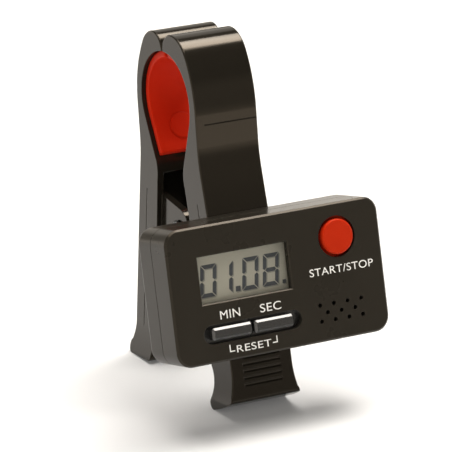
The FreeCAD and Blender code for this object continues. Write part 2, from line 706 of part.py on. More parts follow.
def makeBoardParts():
    rear = cell("board_front") + cell("board_thick") + 0.01
    blob = doc.addObject("Part::Sphere", "BlobBall")
    blob.Radius = 6.5
    blob.Placement.Base = Vector(-13.0, rear - 5.1, 5.5)
    half = block("BlobHalf", -20, rear, -2, 14, 3, 14)
    common = doc.addObject("Part::MultiCommon", "Blob")
    common.Shapes = [blob, half]
    keep(common, "chip_blob", caseFrame)

    can = rod("CrystalCan", -22.0, rear + 1.05, -7.5, 1.0, 6.0, alongX)
    legs = [rod("CrystalLeg", -16.05, rear + 1.05, -7.5 + s * 0.4, 0.15, 1.6, alongX)
            for s in (-1, 1)]
    keep(join("Crystal", [can, *legs]), "quartz_crystal", caseFrame)

    drum = rod("CapacitorDrum", 7.0, rear, 5.5, 2.0, 4.2)
    keep(soften("Capacitor", drum, 0.3, lambda e: e.Length > 10), "capacitor", caseFrame)

    chips = [block("Resistor", -8.0 + 3.2 * n, rear, -11.0, 1.6, 0.5, 0.9) for n in range(4)]
    doc.recompute()
    rowOfChips = doc.addObject("Part::Compound", "Resistors")
    rowOfChips.Links = chips
    keep(rowOfChips, "resistors", caseFrame)


def makeSounder():
    """A brass plate with a ceramic disc on it, behind the sounder holes."""
    x, z = cell("sound_x"), cell("sound_z") + 1.4
    plate = rod("SounderPlate", x, cell("face_wall") + 0.5, z, 7.4, 0.2)
    keep(plate, "sounder_plate", caseFrame.multiply(plate.Placement))
    disc = rod("SounderDisc", x, cell("face_wall") + 0.71, z, 5.0, 0.2)
    keep(disc, "sounder_disc", caseFrame.multiply(disc.Placement))
    ringOut = rod("GasketOut", x, cell("face_wall") + 0.02, z, 7.4, 0.46)
    ringIn = rod("GasketIn", x, cell("face_wall") + 0.02, z, 6.9, 0.46)
    keep(cut("Gasket", ringOut, ringIn), "sounder_gasket", caseFrame)


def makeCell():
    x, radius = cell("cell_x"), cell("cell_round")
    front = cell("cell_front")
    can = rod("CellCan", x, front + 0.5, 0, "Sizes.cell_round", "Sizes.cell_thick - 0.5")
    can = soften("CellBody", can, 0.3, lambda e: e.Length > 30)
    button = rod("CellButton", x, front, 0, radius - 1.0, 0.8)
    keep(join("Cell", [can, button]), "button_cell", caseFrame)

    rear = cell("board_front") + cell("board_thick") + 0.01
    leaf = block("LeafBase", x - 4.0, rear, -2.0, 8.0, 0.25, 4.0)
    bump = rod("LeafBump", x, rear, 0, 1.2, front - rear - 0.01)
    keep(join("NegativeContact", [leaf, bump]), "negative_contact", caseFrame)

    top = front + cell("cell_thick") + 0.02
    tongue = block("PlusTongue", x - 1.0, top, -2.0, radius + 1.6, 0.25, 4.0)
    drop = block("PlusDrop", x + radius + 0.32, 9.9, -2.0, 0.25, top - 9.8, 4.0)
    keep(join("PlusContact", [tongue, drop]), "positive_contact", caseFrame)


# ---------------------------------------------------------------- screws
def screw(name, x, y, z, headRadius, headThick, shankRadius, length):
    """A pan-head cross-recessed screw that points along -y; y is where its head rests."""
    head = rod(name + "Head", x, y, z, headRadius, headThick)
    shank = rod(name + "Shank", x, y - length, z, shankRadius, length + 0.1)
    bars = [block(name + "BarX", x - 1.0, y + headThick - 0.6, z - 0.18, 2.0, 1.0, 0.36),
            block(name + "BarZ", x - 0.18, y + headThick - 0.6, z - 1.0, 0.36, 1.0, 2.0)]
    return cut(name, join(name + "Blank", [head, shank]), join(name + "Cross", bars))


def group(label, items):
    doc.recompute()
    item = doc.addObject("Part::Compound", label.title().replace("_", ""))
    item.Links = items
    keep(item, label, caseFrame)


def makeScrews():
    back = cell("front_depth") + cell("rear_depth")
    group("case_screws", [screw(f"CaseScrew{n}", x, back - 1.48, z, cell("screw_head"), 1.2,
                                cell("screw_shank") - 0.01, 10.0)
                          for n, (x, z) in enumerate(screwSpots())])
    rear = cell("board_front") + cell("board_thick")
    group("board_screws", [screw(f"BoardScrew{n}", x, rear + 0.02, z, 1.4, 0.9, 0.61, 4.6)
                           for n, (x, z) in enumerate(boardSpots)])
    group("mounting_screws", [screw(f"MountScrew{n}", 0, back + seatDepth(z) + 0.02, z, 2.0, 1.4,
                                    0.97, seatDepth(z) + 4.6)
                              for n, z in enumerate(screwLifts)])


# ---------------------------------------------------------------- build, check and write
makeRearLever()
makeFrontLever()
makePads()
makePin()
makePinRing()
makeSpring()
makeFrontCase()
makeRearCase()
makeDoor()
makeDisplay()
makeKeys()
makeBoard()
makeBoardParts()
makeSounder()
makeCell()
makeScrews()
doc.recompute()

for item in doc.Objects:
    if "Invalid" in item.State or "Error" in item.State:
        raise RuntimeError(f"{item.Label} did not build: {item.State}")
os.makedirs("parts", exist_ok=True)
whole = FreeCAD.BoundBox()
for item in parts:
    shape = item.Shape
    if shape.isNull() or not shape.isValid():
        raise RuntimeError(f"{item.Label} has no valid shape")
    shape.exportStep(f"parts/{item.Label}.step")
    whole.add(shape.BoundBox)
    print(f"{item.Label:18s} {shape.Volume:10.2f} mm3, {len(shape.Solids)} solid(s)")
print("bounds", [round(v, 2) for v in (whole.XMin, whole.XMax, whole.YMin, whole.YMax,
                                       whole.ZMin, whole.ZMax)])
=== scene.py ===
import json
import math
import bmesh
import bpy
import numpy as np
from mathutils import Matrix, Vector


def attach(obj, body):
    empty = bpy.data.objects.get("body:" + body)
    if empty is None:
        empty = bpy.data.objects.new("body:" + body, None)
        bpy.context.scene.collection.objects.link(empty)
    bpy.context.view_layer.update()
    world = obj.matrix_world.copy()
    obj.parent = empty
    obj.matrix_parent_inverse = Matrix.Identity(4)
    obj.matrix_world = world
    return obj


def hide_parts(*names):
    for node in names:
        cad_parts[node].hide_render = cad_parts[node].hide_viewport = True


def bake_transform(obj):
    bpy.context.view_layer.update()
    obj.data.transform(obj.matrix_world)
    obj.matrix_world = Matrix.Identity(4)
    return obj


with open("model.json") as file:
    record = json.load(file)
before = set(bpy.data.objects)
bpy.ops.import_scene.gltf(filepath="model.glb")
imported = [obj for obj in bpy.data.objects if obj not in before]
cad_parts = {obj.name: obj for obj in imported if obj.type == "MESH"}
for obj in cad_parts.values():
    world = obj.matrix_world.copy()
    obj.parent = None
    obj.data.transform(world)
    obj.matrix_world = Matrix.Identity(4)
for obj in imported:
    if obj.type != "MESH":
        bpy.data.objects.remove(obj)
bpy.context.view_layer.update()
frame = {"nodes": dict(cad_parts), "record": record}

nodes = frame["nodes"]
mm = 0.001
rootBody = "timer_and_front_lever"
jawBody = "rear_jaw"

# The case stands on its own axes: x right, y into the case, z up its face. The clip has y towards
# the rear lever and z up the clamp's middle line.
stand = {"caseLean": 14.33, "caseBack": -31.99, "caseLift": 41.31,
         "clipLean": 8.0, "clipBack": 4.51, "clipLift": 0.06}


def axesFrame(lean, back, lift):
    return Matrix.Translation(Vector((0, back, lift)) * mm) @ Matrix.Rotation(-math.radians(lean), 4, "X")


caseFrame = axesFrame(stand["caseLean"], stand["caseBack"], stand["caseLift"])
clipFrame = axesFrame(stand["clipLean"], stand["clipBack"], stand["clipLift"])
print("frame loaded:", len(nodes), "nodes")


# ---- camera
lens = {"focal": 311.5, "sensor": 36.0, "right": -14.32, "up": 15.13, "away": 1063.0,
        "rightWay": (0.8793, -0.4762, 0.0), "backWay": (-0.4493, -0.8295, 0.3318)}


def makeCamera():
    right = Vector(lens["rightWay"]).normalized()
    back = Vector(lens["backWay"]).normalized()
    up = back.cross(right).normalized()
    data = bpy.data.cameras.new("camera")
    data.lens = lens["focal"]
    data.sensor_width = lens["sensor"]
    data.clip_start, data.clip_end = 0.01, 20.0
    eye = bpy.data.objects.new("camera", data)
    bpy.context.scene.collection.objects.link(eye)
    turn = Matrix((right, up, back)).transposed().to_4x4()
    place = caseFrame.translation + (right * lens["right"] + up * lens["up"] + back * lens["away"]) * mm
    eye.matrix_world = Matrix.Translation(place) @ turn
    bpy.context.scene.camera = eye


makeCamera()
print("camera set")


# ---- shader helpers
class Num:    # a shader value: arithmetic on it adds Math nodes
    def __init__(self, tree, link):
        self.tree, self.link = tree, link

    def math(self, operation, *values):
        made = self.tree.node("ShaderNodeMath", {"operation": operation}, list(values))
        return Num(self.tree, made.outputs[0])

    def __add__(self, other):
        return self.math("ADD", self, other)
    __radd__ = __add__

    def __mul__(self, other):
        return self.math("MULTIPLY", self, other)
    __rmul__ = __mul__

    def __sub__(self, other):
        return self.math("SUBTRACT", self, other)

    def __rsub__(self, other):
        return self.math("SUBTRACT", other, self)

    def __pow__(self, other):
        return self.math("POWER", self, other)

    def clamp(self):
        return self.math("MINIMUM", self.math("MAXIMUM", self, 0.0), 1.0)

    def step(self, low, high):    # runs smoothly from 0 at low to 1 at high
        made = self.tree.node("ShaderNodeMapRange", {"interpolation_type": "SMOOTHSTEP"},
                              {"Value": self, "From Min": low, "From Max": high})
        return Num(self.tree, made.outputs["Result"])


class Finish:    # one material's node tree
    def __init__(self, name):
        self.material = bpy.data.materials.new(name)
        self.material.use_nodes = True
        self.tree = self.material.node_tree
        self.tree.nodes.clear()
        self.output = self.node("ShaderNodeOutputMaterial")
        self.place = self.node("ShaderNodeTexCoord").outputs["Object"]

    def node(self, kind, settings=None, values=None):
        made = self.tree.nodes.new(kind)
        for key, setting in (settings or {}).items():
            setattr(made, key, setting)
        pairs = values.items() if isinstance(values, dict) else enumerate(values or [])
        for key, value in pairs:
            socket = made.inputs[key]
            if isinstance(value, Num):
                value = value.link
            if isinstance(value, bpy.types.NodeSocket):
                self.tree.links.new(value, socket)
            else:
                socket.default_value = value
        return made

    def stretched(self, scale, turn=(0, 0, 0)):
        made = self.node("ShaderNodeMapping", None, {"Vector": self.place, "Scale": scale, "Rotation": turn})
        return made.outputs[0]

    def noise(self, scale, detail=3.0, rough=0.55, place=None):
        made = self.node("ShaderNodeTexNoise", None, {"Vector": place or self.place, "Scale": scale,
                                                      "Detail": detail, "Roughness": rough})
        return Num(self, made.outputs["Fac"])

    def cells(self, scale, feature="F1", place=None):
        made = self.node("ShaderNodeTexVoronoi", {"feature": feature},
                         {"Vector": place or self.place, "Scale": scale})
        return Num(self, made.outputs["Distance"])

    def blend(self, share, first, second):
        made = self.node("ShaderNodeMix", {"data_type": "RGBA"})
        for key, value in ((0, share), (6, first), (7, second)):
            socket = made.inputs[key]
            value = value.link if isinstance(value, Num) else value
            if isinstance(value, bpy.types.NodeSocket):
                self.tree.links.new(value, socket)
            else:
                socket.default_value = (*value, 1.0) if isinstance(value, tuple) and len(value) == 3 else value
        return made.outputs[2]

    def rounded(self, radius):    # normals that turn round each edge
        return self.node("ShaderNodeBevel", {"samples": 4}, {"Radius": radius * mm}).outputs[0]

    def edges(self, normal):    # 1 at an edge, 0 away from it
        flat = self.node("ShaderNodeNewGeometry").outputs["Normal"]
        dot = self.node("ShaderNodeVectorMath", {"operation": "DOT_PRODUCT"}, [normal, flat])
        return (1.0 - Num(self, dot.outputs["Value"])).step(0.004, 0.09)

    def bump(self, height, depth, normal):
        return self.node("ShaderNodeBump", None, {"Strength": 1.0, "Distance": depth * mm,
                                                  "Height": height, "Normal": normal}).outputs[0]

    def shade(self, color, rough, normal=None, **fixed):
        values = {"Base Color": color, "Roughness": rough}
        if normal is not None:
            values["Normal"] = normal
        values.update({key.replace("_", " "): value for key, value in fixed.items()})
        made = self.node("ShaderNodeBsdfPrincipled", None, values)
        self.tree.links.new(made.outputs[0], self.output.inputs[0])
        return self.material


def tint(color, by):
    return tuple(min(1.0, c * by) for c in color)


# ---- moulded plastic: mottled colour, fine grain, rubbed edges, dust in patches and hairline scratches
def mouldedPlastic(name, color, rough, grain=2600.0, grainDepth=0.006, edge=0.25, rub=1.9, scratch=0.35,
                   dust=0.25, crease=None, **fixed):
    made = Finish(name)
    normal = made.rounded(edge)
    worn = made.edges(normal)
    patches = made.noise(55.0, 4.0)
    dusty = made.noise(2400.0, 3.0, 0.7).step(0.60, 0.80) * made.noise(90.0).step(0.4, 0.7) * dust
    streaks = made.noise(2600.0, 1.0, 0.5, made.stretched((1.0, 0.03, 0.04), (0.3, 0.2, 0.5))).step(0.70, 0.76)
    streaks = streaks * made.noise(60.0).step(0.5, 0.7) * scratch
    base = made.blend(patches, tint(color, 0.88), tint(color, 1.12))
    base = made.blend(worn * 0.4, base, tint(color, rub))
    base = made.blend(dusty * 0.12, base, (0.42, 0.40, 0.36))
    peel = made.noise(grain, 2.0, 0.6)
    roughness = (rough + (patches - 0.5) * 0.06 + dusty * 0.12 + streaks * 0.10 + worn * 0.05).clamp()
    if crease:    # a fine moulded line across the front lever, at a height up the clamp's middle line: a groove in the bump, with painted shade darkening the colour along it
        axes = made.node("ShaderNodeSeparateXYZ", None, [made.place]).outputs
        x, y, z = (Num(made, axis) for axis in axes)
        lean = math.radians(stand["clipLean"])
        y, z = y - stand["clipBack"] * mm, z - stand["clipLift"] * mm
        lift = y * math.sin(lean) + z * math.cos(lean)
        out = y * math.cos(lean) - z * math.sin(lean)
        line = x.math("ABSOLUTE", lift - crease["lift"] * mm).step(crease["half"] * mm, 0.0)
        line = line * x.step(crease["from"] * mm, (crease["from"] + 0.4) * mm) * out.step(-0.012, -0.014)
        normal = made.bump(1.0 - line, crease["deep"], normal)
        # painted shade: the crease darkens the colour along its line, as if shaded in its groove
        base = made.blend(line * 0.7, base, tint(color, 0.35))
    return made.shade(base, roughness, made.bump(peel - streaks * 0.4, grainDepth, normal), **fixed)


# ---- soft rubber: even colour with a dry bloom, dark specks, a fine matt skin and paler rubbed edges
def softRubber(name, color, rough, grain=3400.0, depth=0.010, edge=0.3, bloom=(0.55, 0.04, 0.01), **fixed):
    made = Finish(name)
    normal = made.rounded(edge)
    worn = made.edges(normal)
    patches = made.noise(110.0, 5.0)
    specks = made.cells(1500.0).step(0.10, 0.02) * made.noise(300.0).step(0.5, 0.7)
    base = made.blend(patches, tint(color, 0.86), tint(color, 1.10))
    base = made.blend(patches.step(0.5, 0.8) * 0.10, base, bloom)
    base = made.blend(worn * 0.25, base, tint(color, 1.25))
    base = made.blend(specks * 0.35, base, tint(color, 0.35))
    skin = made.noise(grain, 3.0, 0.7) + made.cells(grain * 0.5) * 0.4
    return made.shade(base, (rough + (patches - 0.5) * 0.14).clamp(), made.bump(skin, depth, normal), **fixed)


# ---- metal: drawn or rolled streaks, fine pits and a dull film
def drawnMetal(name, color, rough, stretch=(0.04, 1.0, 1.0), depth=0.003, film=(0.30, 0.28, 0.25), edge=0.12):
    made = Finish(name)
    normal = made.rounded(edge)
    streaks = made.noise(1800.0, 3.0, 0.6, made.stretched(stretch))
    dull = made.noise(260.0, 5.0, 0.65).step(0.45, 0.75)
    base = made.blend(streaks, tint(color, 0.80), tint(color, 1.12))
    base = made.blend(dull * 0.25, base, film)
    roughness = (rough + (streaks - 0.5) * 0.20 + dull * 0.15).clamp()
    return made.shade(base, roughness, made.bump(streaks, depth, normal), Metallic=1.0)


# ---- clear window: lets light straight through and keeps a polished reflection
def clearWindow(name):
    made = Finish(name)
    smear = made.noise(130.0, 4.0).step(0.52, 0.75)
    gloss = made.node("ShaderNodeBsdfPrincipled", None, {
        "Base Color": (0.012, 0.013, 0.012, 1.0), "Roughness": 0.04 + smear * 0.10,
        "Normal": made.bump(made.noise(60.0, 1.0), 0.004, made.rounded(0.1))})
    clear = made.node("ShaderNodeBsdfTransparent", None, {"Color": (0.985, 0.99, 0.98, 1.0)})
    facing = Num(made, made.node("ShaderNodeLayerWeight", None, {"Blend": 0.5}).outputs["Facing"])
    sheen = facing ** 5.0 * 0.96 + 0.034    # the same on the pane's two sides
    mixed = made.node("ShaderNodeMixShader", None,
                      [(sheen + smear * 0.012).clamp(), clear.outputs[0], gloss.outputs[0]])
    made.tree.links.new(mixed.outputs[0], made.output.inputs[0])
    return made.material


# ---- display glass: even beige-grey, a little darker towards the right by painted shade, fine polariser grain
def displayGlass(name, color):
    made = Finish(name)
    axes = made.node("ShaderNodeSeparateXYZ", None, [made.place])
    across = Num(made, axes.outputs["X"]).step(-0.026, 0.006)
    cloud = made.noise(95.0, 3.0)
    grain = made.noise(5200.0, 2.0)
    # painted shade: the colour runs darker towards the right side of the display
    base = made.blend(across, tint(color, 1.04), tint(color, 0.90))
    base = made.blend(cloud * 0.35, base, tint(color, 0.88))
    base = made.blend(grain.step(0.35, 0.75) * 0.12, base, tint(color, 1.16))
    return made.shade(base, (0.38 + cloud * 0.12).clamp(), made.bump(grain, 0.002, made.rounded(0.1)))


# ---- display ink: dark blue-grey, paler in clouds
def segmentInk(name, dark, pale):
    made = Finish(name)
    cloud = made.noise(700.0, 3.0)
    base = made.blend(cloud.step(0.35, 0.8) * 0.5, dark, pale)
    return made.shade(base, (0.42 + cloud * 0.1).clamp(), made.bump(cloud, 0.001, made.rounded(0.05)))


# ---- printed ink: white, thin in spots, slightly raised
def printedInk(name):
    made = Finish(name)
    thin = made.noise(1500.0, 4.0, 0.7)
    base = made.blend(thin.step(0.52, 0.8) * 0.35, (0.80, 0.80, 0.78), (0.48, 0.47, 0.44))
    return made.shade(base, (0.50 + thin * 0.15).clamp(), made.bump(thin, 0.003, made.rounded(0.03)))


# ---- circuit board: mask over raised tracks, with a fine fibre grain
def boardMask(name, color):
    made = Finish(name)
    tracks = made.cells(210.0, "DISTANCE_TO_EDGE", made.stretched((1.0, 0.2, 1.7))).step(0.06, 0.03)
    fibre = made.noise(1900.0, 2.0)
    base = made.blend(tracks, color, tint(color, 1.9))
    base = made.blend(fibre * 0.3, base, tint(color, 0.7))
    relief = made.bump(tracks * 0.8 + fibre * 0.1, 0.03, made.rounded(0.1))
    return made.shade(base, (0.28 + fibre * 0.12).clamp(), relief)


# shares of the record's base colours that the finishes use, the tint of their shine, the inks, the painted shadow of
# the segments and the near-black of the painted shade behind the sounder's holes
looks = {"case": 0.46, "lever": 0.45, "grip": 0.84, "button": 0.83, "pin": 0.15, "spring": 0.20, "display": 0.84,
         "plasticShine": (1.0, 0.86, 0.70, 1.0), "rubberShine": (1.0, 0.60, 0.30, 1.0),
         "segment": ((0.034, 0.038, 0.050), (0.062, 0.067, 0.081)),
         "segmentShadow": ((0.205, 0.199, 0.178), (0.225, 0.217, 0.197)), "holeShadeSheet": (0.01, 0.01, 0.01)}
leverCrease = {"lift": 76.8, "half": 0.22, "from": -7.2, "deep": 0.10}


def makeFinishes():
    slots = {m["slot"]: tuple(m["base_color"][:3]) for m in frame["record"]["materials"]}
    plasticShine, rubberShine = looks["plasticShine"], looks["rubberShine"]
    made = {
        "case_plastic": mouldedPlastic("case_plastic", tint(slots["case_plastic"], looks["case"]), 0.28,
                                       grain=3000.0, grainDepth=0.004, edge=0.22, rub=2.6,
                                       Specular_IOR_Level=0.23, Specular_Tint=plasticShine),
        "lever_plastic": mouldedPlastic("lever_plastic", tint(slots["lever_plastic"], looks["lever"]), 0.13,
                                        grain=1500.0, grainDepth=0.0012, edge=0.35, rub=2.2, scratch=0.2,
                                        crease=leverCrease, Specular_IOR_Level=0.30, Specular_Tint=plasticShine),
        "key_plastic": mouldedPlastic("key_plastic", slots["key_plastic"], 0.17, edge=0.15, rub=2.0, scratch=0.2,
                                      Specular_IOR_Level=0.8),
        "grip_rubber": softRubber("grip_rubber", tint(slots["grip_rubber"], looks["grip"]), 0.55,
                                  Specular_IOR_Level=0.14, Specular_Tint=rubberShine),
        "button_rubber": softRubber("button_rubber", tint(slots["button_rubber"], looks["button"]), 0.42,
                                    depth=0.006, Specular_IOR_Level=0.18, Specular_Tint=rubberShine),
        "dome_rubber": softRubber("dome_rubber", slots["dome_rubber"], 0.5, bloom=(0.6, 0.6, 0.58)),
        "gasket_foam": softRubber("gasket_foam", slots["gasket_foam"], 0.8, grain=1800.0, depth=0.05,
                                  bloom=(0.12, 0.12, 0.12)),
        "pin_steel": drawnMetal("pin_steel", tint(slots["pin_steel"], looks["pin"]), 0.34,
                                film=(0.05, 0.045, 0.04)),
        "spring_steel": drawnMetal("spring_steel", tint(slots["spring_steel"], looks["spring"]), 0.34,
                                   (1.0, 0.1, 0.1), film=(0.06, 0.055, 0.05)),
        "screw_steel": drawnMetal("screw_steel", slots["screw_steel"], 0.32, (1.0, 0.3, 1.0)),
        "cell_steel": drawnMetal("cell_steel", slots["cell_steel"], 0.26, (1.0, 0.2, 1.0)),
        "can_metal": drawnMetal("can_metal", slots["can_metal"], 0.28),
        "reflector_foil": drawnMetal("reflector_foil", slots["reflector_foil"], 0.36),
        "sounder_brass": drawnMetal("sounder_brass", slots["sounder_brass"], 0.30, (0.05, 1.0, 1.0)),
        "window_clear": clearWindow("window_clear"),
        "lcd_glass": displayGlass("lcd_glass", tint(slots["lcd_glass"], looks["display"])),
        "board_resin": boardMask("board_resin", slots["board_resin"]),
        "epoxy_black": mouldedPlastic("epoxy_black", slots["epoxy_black"], 0.22, grain=900.0, scratch=0.0),
        "chip_ceramic": mouldedPlastic("chip_ceramic", slots["chip_ceramic"], 0.5, rub=1.2, scratch=0.1),
    }
    for part in frame["record"]["subparts"]:
        item = nodes[part["node"]]
        item.data.materials.clear()
        item.data.materials.append(made[part["material_slot"]])
    made["segment_ink"] = segmentInk("segment_ink", *looks["segment"])
    # painted shadow: a finish a little darker than the display, for copies of the segments that stand for their
    # shadow
    made["segment_shadow"] = segmentInk("segment_shadow", *looks["segmentShadow"])
    made["printed_ink"] = printedInk("printed_ink")
    # painted shade: a near-black finish for the sheet behind the sounder's holes
    made["sound_hole_shade"] = mouldedPlastic("sound_hole_shade", looks["holeShadeSheet"], 0.9, grain=1300.0, grainDepth=0.08,
                                         edge=0.02, scratch=0.0)
    return made


finishes = makeFinishes()
print("finishes made:", len(finishes))


# ---- mesh helpers
def addPiece(name, points, faces, body, finish, place, smooth=True):
    mesh = bpy.data.meshes.new(name)
    mesh.from_pydata(np.asarray(points, float).tolist(), [], [list(map(int, f)) for f in faces])
    shell = bmesh.new()
    shell.from_mesh(mesh)
    bmesh.ops.recalc_face_normals(shell, faces=shell.faces)
    shell.to_mesh(mesh)
    shell.free()
    mesh.transform(place)
    mesh.update()
    mesh.polygons.foreach_set("use_smooth", [smooth] * len(mesh.polygons))
    item = bpy.data.objects.new(name, mesh)
    bpy.context.scene.collection.objects.link(item)
    mesh.materials.append(finishes[finish])
    if body:
        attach(item, body)
    return item


def gridFaces(rows, columns, flip=False):
    # quads between neighbouring grid points, where each row is a ring that joins its last point to its first
    i, j = np.meshgrid(np.arange(rows - 1), np.arange(columns), indexing="ij")
    i, j = i.ravel(), j.ravel()
    iNext, jNext = i + 1, (j + 1) % columns
    quads = np.stack([i * columns + j, iNext * columns + j, iNext * columns + jNext, i * columns + jNext], 1)
    return quads[:, ::-1] if flip else quads


def slabs(outlines, front, back):
    # each flat outline in x, z becomes a thin closed plate from y = front to y = back
    points, faces = [], []
    for outline in outlines:
        flat = np.asarray(outline, float)
        area = np.sum(flat[:, 0] * np.roll(flat[:, 1], -1) - np.roll(flat[:, 0], -1) * flat[:, 1])
        flat = flat if area > 0 else flat[::-1]
        n, first = len(flat), len(points)
        for y in (front, back):
            points += [(u, y, v) for u, v in flat]
        faces.append([first + k for k in range(n)])
        faces.append([first + n + k for k in range(n)][::-1])
        faces += [[first + k, first + n + k, first + n + (k + 1) % n, first + (k + 1) % n] for k in range(n)]
    return np.array(points) * mm, faces


def tubeAlong(path, radius, sides=14):
    # a round section carried along a path: at each point the circle stands square to the path's run
    path = np.asarray(path, float)
    run = np.gradient(path, axis=0)
    run /= np.linalg.norm(run, axis=1)[:, None]
    side = np.cross(run, np.array([0.31, 0.17, 0.93]))
    for k in range(1, len(side)):    # carry the first side along without twist
        side[k] = side[k - 1] - run[k] * np.dot(side[k - 1], run[k])
    side /= np.linalg.norm(side, axis=1)[:, None]
    other = np.cross(run, side)
    turn = np.linspace(0, 2 * np.pi, sides, endpoint=False)
    ringPoints = (side[:, None, :] * np.cos(turn)[None, :, None] + other[:, None, :] * np.sin(turn)[None, :, None])
    points = (path[:, None, :] + radius * ringPoints).reshape(-1, 3)
    faces = list(gridFaces(len(path), sides, flip=True))
    last = (len(path) - 1) * sides
    faces += [list(range(sides))[::-1], [last + k for k in range(sides)]]
    return points, faces


# ---- grip pads: the section is a smoothed strip round the mouth, carried across with rounded ends
padShape = {"centre": 81.3, "outer": 14.35, "inner": 12.35, "width": 16.8, "round": 0.45, "soft": 0.32,
            "low": -23.5, "top": 87.0, "run": (-4.75, -11.0), "capShift": 5,
            "points": 420, "reach": 12, "tip": (0.1, 0.3),
            "studRadius": 3.8, "studProud": 0.42, "studAt": 0.38, "studRim": 0.3, "studSink": 0.8}


def padSection(side):
    p = padShape
    angles = np.radians(np.linspace(p["low"], p["top"], 90))
    arc = np.stack([np.cos(angles), np.sin(angles)], 1)
    outer, inner = arc * p["outer"], arc * p["inner"]
    run = np.array(p["run"])
    loop = np.concatenate([[outer[0] + run], outer, inner[::-1], [inner[0] + run + p["tip"]]])
    loop = np.concatenate([loop, loop[:1]])
    length = np.concatenate([[0], np.cumsum(np.linalg.norm(np.diff(loop, axis=0), axis=1))])
    count = p["points"]
    at = np.linspace(0, length[-1], count, endpoint=False)
    even = np.stack([np.interp(at, length, loop[:, k]) for k in (0, 1)], 1)
    reach = np.arange(-p["reach"], p["reach"] + 1)
    weight = np.exp(-0.5 * (reach * length[-1] / count / p["soft"]) ** 2)
    even = sum(w * np.roll(even, k, axis=0) for w, k in zip(weight / weight.sum(), reach))
    return even * (side, 1) + (0, p["centre"])


def makePad(name, side, body):
    p = padShape
    flat = padSection(side)
    run = np.roll(flat, -1, axis=0) - np.roll(flat, 1, axis=0)
    run /= np.linalg.norm(run, axis=1)[:, None]
    inward = np.stack([-run[:, 1], run[:, 0]], 1)
    area = np.sum(flat[:, 0] * np.roll(flat[:, 1], -1) - np.roll(flat[:, 0], -1) * flat[:, 1])
    inward *= 1 if area > 0 else -1
    half, r = p["width"] / 2, p["round"]
    bend = np.radians(np.linspace(90, 0, 7))
    ends = np.stack([half - r + r * np.sin(bend), r - r * np.cos(bend)], 1)    # x and how far the section draws in
    across = np.concatenate([ends * (-1, 1), ends[::-1]])
    points = np.empty((len(across), len(flat), 3))
    points[..., 0] = across[:, :1]
    points[..., 1:] = flat[None] + inward[None] * across[:, 1][:, None, None]
    count = len(flat)
    outward = area > 0
    faces = list(gridFaces(len(across), count, flip=outward))
    last = (len(across) - 1) * count
    order = np.roll(np.arange(count), p["capShift"])    # an end is closed by strips across the section
    near, far = order[:count // 2], order[::-1][:count // 2]
    strips = np.stack([near[:-1], near[1:], far[1:], far[:-1]], 1)
    faces += list(strips if outward else strips[:, ::-1]) + list((strips[:, ::-1] if outward else strips) + last)
    pad = addPiece(name, points.reshape(-1, 3) * mm, faces, body, "grip_rubber", clipFrame)
    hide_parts(name.replace("_lining", "_pad"))
    return pad


def makeStud(name, side, body):
    # a shallow button: its profile runs out along the top and over a rounded rim, and turns about its axis
    p = padShape
    low = math.radians(p["low"])
    run = np.array(p["run"])
    face = p["inner"] * np.array([math.cos(low), math.sin(low)]) + p["studAt"] * run
    along = run / np.linalg.norm(run)
    out = np.array([along[1], -along[0]])
    out = out if out[0] < 0 else -out
    turn = np.linspace(0, 2 * np.pi, 72, endpoint=False)
    radius, high, r = p["studRadius"], p["studProud"], p["studRim"]
    bend = np.radians(np.linspace(0, 90, 7))
    rim = np.stack([radius - r + r * np.sin(bend), high - r + r * np.cos(bend)], 1)
    profile = np.concatenate([[[0.9, high + 0.05], [radius * 0.5, high + 0.035]], rim, [[radius, -p["studSink"]]]])
    points = np.empty((len(profile), len(turn), 3))
    points[..., 0] = profile[:, :1] * np.cos(turn)
    slide = profile[:, :1] * np.sin(turn)
    points[..., 1] = (face[0] + along[0] * slide + out[0] * profile[:, 1:]) * side
    points[..., 2] = p["centre"] + face[1] + along[1] * slide + out[1] * profile[:, 1:]
    count = len(turn)
    faces = list(gridFaces(len(profile), count, flip=side > 0))
    last = (len(profile) - 1) * count
    topCap, lowCap = list(range(count)), [last + k for k in range(count)]
    faces += [topCap, lowCap[::-1]] if side > 0 else [topCap[::-1], lowCap]
    return addPiece(name, points.reshape(-1, 3) * mm, faces, body, "grip_rubber", clipFrame)


makePad("rear_lining", 1, jawBody)
makePad("front_lining", -1, rootBody)
makeStud("rear_stud", 1, jawBody)
makeStud("front_stud", -1, rootBody)
print("grip pads made")


# ---- torsion spring: straight leg, helix about the pin, straight leg
springShape = {"wire": 0.5, "coil": 3.1, "half": 2.2, "turns": 4, "pivot": 45.0, "foot": (21.9, 33.0)}


def makeSpring():
    s = springShape
    foot = np.array([s["foot"][0], s["foot"][1] - s["pivot"]])
    tangent = math.atan2(foot[1], foot[0]) + math.acos(s["coil"] / np.linalg.norm(foot))
    sweep = 2 * math.pi * s["turns"] + math.pi - 2 * tangent
    share = np.linspace(0, 1, 48 * s["turns"])
    angle = math.pi - tangent - share * sweep
    helix = np.stack([-s["half"] + 2 * s["half"] * share, s["coil"] * np.cos(angle),
                      s["pivot"] + s["coil"] * np.sin(angle)], 1)
    steps = np.linspace(0, 1, 24)[:, None]
    first = np.array([-s["half"], -foot[0], s["foot"][1]])
    final = np.array([s["half"], foot[0], s["foot"][1]])
    firstLeg = first + (helix[0] - first) * steps
    finalLeg = helix[-1] + (final - helix[-1]) * steps
    path = np.concatenate([firstLeg[:-1], helix, finalLeg[1:]])
    points, faces = tubeAlong(path, s["wire"])
    coil = addPiece("clamp_spring", points * mm, faces, None, "spring_steel", clipFrame)
    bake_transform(coil)
    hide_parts("torsion_spring")


makeSpring()
print("spring made")


